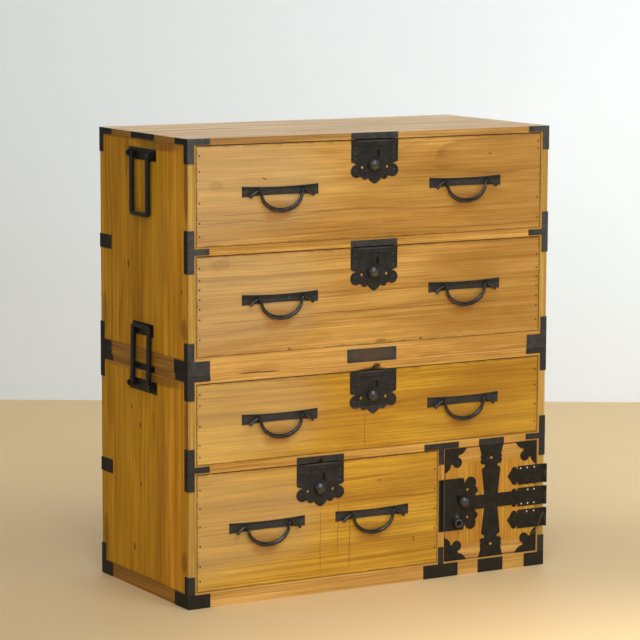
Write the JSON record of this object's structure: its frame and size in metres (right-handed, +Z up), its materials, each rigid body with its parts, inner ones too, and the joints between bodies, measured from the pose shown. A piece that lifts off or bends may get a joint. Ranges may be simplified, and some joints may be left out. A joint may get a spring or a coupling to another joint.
{
  "type": "clothing chest",
  "caption": "Two-section iron-bound clothing chest with locking drawers, hanging bails, side carrying loops and a small iron-bound door over hidden drawers.",
  "frame": {"origin": "middle of the footprint of the case, on the floor", "axes": "+Z up, the drawers face -Y, +X to the right of someone who faces them"},
  "size_m": [0.992, 0.4606, 1.058],
  "materials": {
    "front_wood": "waxed honey wood with flowing grain",
    "side_wood": "dry olive-brown wood, upright grain",
    "top_wood": "pale worn wood",
    "plain_wood": "bare inside wood",
    "door_edge_wood": "reddish lipping",
    "dark_iron": "blackened sheet iron",
    "worn_iron": "worn forged iron",
    "knob_steel": "knob polished by hands"
  },
  "bodies": {
    "lower_case": {"lower_sides": "side_wood", "lower_top": "front_wood", "lower_base": "front_wood", "lower_back": "plain_wood", "lower_rail": "front_wood", "partition": "front_wood", "lower_irons": "dark_iron", "lower_loop_mounts": "dark_iron", "hinge_leaves": "dark_iron"},
    "upper_case": {"upper_sides": "side_wood", "upper_top": "top_wood", "upper_base": "front_wood", "upper_back": "plain_wood", "upper_rail": "front_wood", "upper_irons": "dark_iron", "upper_loop_mounts": "dark_iron"},
    "door": {"door_panel": "front_wood", "door_lipping": "door_edge_wood", "door_irons": "dark_iron", "door_hinge_straps": "dark_iron", "door_lock_plate": "dark_iron"},
    "door_knob": {"door_lock_knob": "knob_steel"},
    "door_bolt": {"door_lock_bolt": "worn_iron"},
    "inner_upper": {"inner_upper_drawer": "plain_wood", "inner_upper_pull": "plain_wood"},
    "inner_lower": {"inner_lower_drawer": "plain_wood", "inner_lower_pull": "plain_wood"},
    "upper_left_carrying_loop": {"upper_left_loop": "worn_iron"},
    "upper_right_carrying_loop": {"upper_right_loop": "worn_iron"},
    "lower_left_carrying_loop": {"lower_left_loop": "worn_iron"},
    "lower_right_carrying_loop": {"lower_right_loop": "worn_iron"},
    "drawer_1": {"drawer_1_front": "front_wood", "drawer_1_box": "plain_wood", "drawer_1_irons": "dark_iron"},
    "drawer_1_knob": {"drawer_1_lock_knob": "knob_steel"},
    "drawer_1_bolt": {"drawer_1_lock_bolt": "worn_iron"},
    "drawer_1_left_handle": {"drawer_1_left_bail": "worn_iron"},
    "drawer_1_right_handle": {"drawer_1_right_bail": "worn_iron"},
    "drawer_2": {"drawer_2_front": "front_wood", "drawer_2_box": "plain_wood", "drawer_2_irons": "dark_iron"},
    "drawer_2_knob": {"drawer_2_lock_knob": "knob_steel"},
    "drawer_2_bolt": {"drawer_2_lock_bolt": "worn_iron"},
    "drawer_2_left_handle": {"drawer_2_left_bail": "worn_iron"},
    "drawer_2_right_handle": {"drawer_2_right_bail": "worn_iron"},
    "drawer_3": {"drawer_3_front": "front_wood", "drawer_3_box": "plain_wood", "drawer_3_irons": "dark_iron"},
    "drawer_3_knob": {"drawer_3_lock_knob": "knob_steel"},
    "drawer_3_bolt": {"drawer_3_lock_bolt": "worn_iron"},
    "drawer_3_left_handle": {"drawer_3_left_bail": "worn_iron"},
    "drawer_3_right_handle": {"drawer_3_right_bail": "worn_iron"},
    "drawer_4": {"drawer_4_front": "front_wood", "drawer_4_box": "plain_wood", "drawer_4_irons": "dark_iron"},
    "drawer_4_knob": {"drawer_4_lock_knob": "knob_steel"},
    "drawer_4_bolt": {"drawer_4_lock_bolt": "worn_iron"},
    "drawer_4_left_handle": {"drawer_4_left_bail": "worn_iron"},
    "drawer_4_right_handle": {"drawer_4_right_bail": "worn_iron"}
  },
  "joints": [
    {"name": "upper_case_lift", "type": "slide", "parent": "lower_case", "child": "upper_case", "axis": [0, 0, 1], "range_m": [0, 0.3]},
    {"name": "upper_left_loop_swing", "type": "hinge", "parent": "upper_case", "child": "upper_left_carrying_loop", "pos_m": [-0.4883, 0, 1.0105], "axis": [0, 1, 0], "range_deg": [0, 180]},
    {"name": "upper_right_loop_swing", "type": "hinge", "parent": "upper_case", "child": "upper_right_carrying_loop", "pos_m": [0.4883, 0, 1.0105], "axis": [0, -1, 0], "range_deg": [0, 180]},
    {"name": "lower_left_loop_swing", "type": "hinge", "parent": "lower_case", "child": "lower_left_carrying_loop", "pos_m": [-0.4883, 0, 0.4805], "axis": [0, -1, 0], "range_deg": [0, 180]},
    {"name": "lower_right_loop_swing", "type": "hinge", "parent": "lower_case", "child": "lower_right_carrying_loop", "pos_m": [0.4883, 0, 0.4805], "axis": [0, 1, 0], "range_deg": [0, 180]},
    {"name": "drawer_1_slide", "type": "slide", "parent": "upper_case", "child": "drawer_1", "axis": [0, -1, 0], "range_m": [0, 0.33]},
    {"name": "drawer_1_knob_turn", "type": "hinge", "parent": "drawer_1", "child": "drawer_1_knob", "pos_m": [-0.003, -0.22, 0.9842], "axis": [0, -1, 0], "range_deg": [0, 60]},
    {"name": "drawer_1_bolt_throw", "type": "slide", "parent": "drawer_1", "child": "drawer_1_bolt", "axis": [0, 0, 1], "range_m": [0, 0.008]},
    {"name": "drawer_1_left_bail_swing", "type": "hinge", "parent": "drawer_1", "child": "drawer_1_left_handle", "pos_m": [-0.2465, -0.2285, 0.937], "axis": [-1, 0, 0], "range_deg": [0, 178]},
    {"name": "drawer_1_right_bail_swing", "type": "hinge", "parent": "drawer_1", "child": "drawer_1_right_handle", "pos_m": [0.2465, -0.2285, 0.937], "axis": [-1, 0, 0], "range_deg": [0, 178]},
    {"name": "drawer_2_slide", "type": "slide", "parent": "upper_case", "child": "drawer_2", "axis": [0, -1, 0], "range_m": [0, 0.33]},
    {"name": "drawer_2_knob_turn", "type": "hinge", "parent": "drawer_2", "child": "drawer_2_knob", "pos_m": [-0.003, -0.22, 0.7382], "axis": [0, -1, 0], "range_deg": [0, 60]},
    {"name": "drawer_2_bolt_throw", "type": "slide", "parent": "drawer_2", "child": "drawer_2_bolt", "axis": [0, 0, 1], "range_m": [0, 0.008]},
    {"name": "drawer_2_left_bail_swing", "type": "hinge", "parent": "drawer_2", "child": "drawer_2_left_handle", "pos_m": [-0.2465, -0.2285, 0.694], "axis": [-1, 0, 0], "range_deg": [0, 178]},
    {"name": "drawer_2_right_bail_swing", "type": "hinge", "parent": "drawer_2", "child": "drawer_2_right_handle", "pos_m": [0.2465, -0.2285, 0.694], "axis": [-1, 0, 0], "range_deg": [0, 178]},
    {"name": "drawer_3_slide", "type": "slide", "parent": "lower_case", "child": "drawer_3", "axis": [0, -1, 0], "range_m": [0, 0.33]},
    {"name": "drawer_3_knob_turn", "type": "hinge", "parent": "drawer_3", "child": "drawer_3_knob", "pos_m": [-0.003, -0.22, 0.4522], "axis": [0, -1, 0], "range_deg": [0, 60]},
    {"name": "drawer_3_bolt_throw", "type": "slide", "parent": "drawer_3", "child": "drawer_3_bolt", "axis": [0, 0, 1], "range_m": [0, 0.008]},
    {"name": "drawer_3_left_bail_swing", "type": "hinge", "parent": "drawer_3", "child": "drawer_3_left_handle", "pos_m": [-0.2465, -0.2285, 0.423], "axis": [-1, 0, 0], "range_deg": [0, 178]},
    {"name": "drawer_3_right_bail_swing", "type": "hinge", "parent": "drawer_3", "child": "drawer_3_right_handle", "pos_m": [0.2465, -0.2285, 0.423], "axis": [-1, 0, 0], "range_deg": [0, 178]},
    {"name": "drawer_4_slide", "type": "slide", "parent": "lower_case", "child": "drawer_4", "axis": [0, -1, 0], "range_m": [0, 0.33]},
    {"name": "drawer_4_knob_turn", "type": "hinge", "parent": "drawer_4", "child": "drawer_4_knob", "pos_m": [-0.143, -0.22, 0.2477], "axis": [0, -1, 0], "range_deg": [0, 60]},
    {"name": "drawer_4_bolt_throw", "type": "slide", "parent": "drawer_4", "child": "drawer_4_bolt", "axis": [0, 0, 1], "range_m": [0, 0.008]},
    {"name": "drawer_4_left_bail_swing", "type": "hinge", "parent": "drawer_4", "child": "drawer_4_left_handle", "pos_m": [-0.279, -0.2285, 0.177], "axis": [-1, 0, 0], "range_deg": [0, 178]},
    {"name": "drawer_4_right_bail_swing", "type": "hinge", "parent": "drawer_4", "child": "drawer_4_right_handle", "pos_m": [-0.001, -0.2285, 0.177], "axis": [-1, 0, 0], "range_deg": [0, 178]},
    {"name": "door_hinge", "type": "hinge", "parent": "lower_case", "child": "door", "pos_m": [0.4834, -0.2226, 0.17125], "axis": [0, 0, 1], "range_deg": [0, 240]},
    {"name": "door_knob_turn", "type": "hinge", "parent": "door", "child": "door_knob", "pos_m": [0.2512, -0.22, 0.17625], "axis": [0, -1, 0], "range_deg": [0, 60]},
    {"name": "door_bolt_throw", "type": "slide", "parent": "door", "child": "door_bolt", "axis": [-1, 0, 0], "range_m": [0, 0.008]},
    {"name": "inner_upper_slide", "type": "slide", "parent": "lower_case", "child": "inner_upper", "axis": [0, -1, 0], "range_m": [0, 0.012]},
    {"name": "inner_lower_slide", "type": "slide", "parent": "lower_case", "child": "inner_lower", "axis": [0, -1, 0], "range_m": [0, 0.012]}
  ],
  "couplings": [
    {"joint": "drawer_1_bolt_throw", "follows": "drawer_1_knob_turn", "m_per_rad": 0.0076394},
    {"joint": "drawer_2_bolt_throw", "follows": "drawer_2_knob_turn", "m_per_rad": 0.0076394},
    {"joint": "drawer_3_bolt_throw", "follows": "drawer_3_knob_turn", "m_per_rad": 0.0076394},
    {"joint": "drawer_4_bolt_throw", "follows": "drawer_4_knob_turn", "m_per_rad": 0.0076394},
    {"joint": "door_bolt_throw", "follows": "door_knob_turn", "m_per_rad": 0.0076394}
  ]
}
